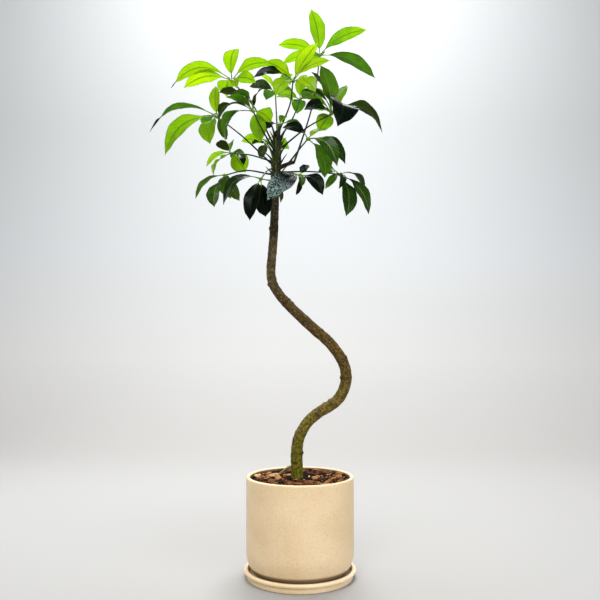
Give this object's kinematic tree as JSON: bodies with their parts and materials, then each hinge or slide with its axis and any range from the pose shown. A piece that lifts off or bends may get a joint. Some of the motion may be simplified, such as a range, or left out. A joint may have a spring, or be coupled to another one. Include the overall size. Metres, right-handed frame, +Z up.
{
  "type": "potted schefflera",
  "caption": "Young umbrella plant with one crooked bare stem and a loose crown of drooping palmate leaves, in a straight round stoneware pot with rounded foot on a lipped saucer.",
  "frame": {"origin": "middle of the saucer's flat underside, where the potted plant stands", "axes": "+Z up along the pot's axis, +X to the right and -Y towards a viewer who sees the stem's side shoot on the right"},
  "size_m": [0.425, 0.2935, 1.069],
  "materials": {
    "stoneware": "cream, fine speckle, satin",
    "mulch": "rough red-brown bark chips",
    "bark": "olive-brown young bark with leaf scars",
    "leaf": "glossy green leaf"
  },
  "bodies": {
    "root": {"saucer": "stoneware", "pot": "stoneware", "soil": "mulch", "stem": "bark", "frond_top_right": "leaf", "frond_top_middle": "leaf", "frond_top_left": "leaf", "frond_top_back": "leaf", "frond_front_middle": "leaf", "frond_left": "leaf", "frond_right": "leaf", "frond_front_low": "leaf", "frond_right_low": "leaf", "frond_front_lowest": "leaf", "frond_front_left_low": "leaf", "frond_left_low": "leaf", "frond_back_left": "leaf", "frond_back_right": "leaf", "frond_back": "leaf", "frond_young": "leaf"}
  },
  "joints": []
}
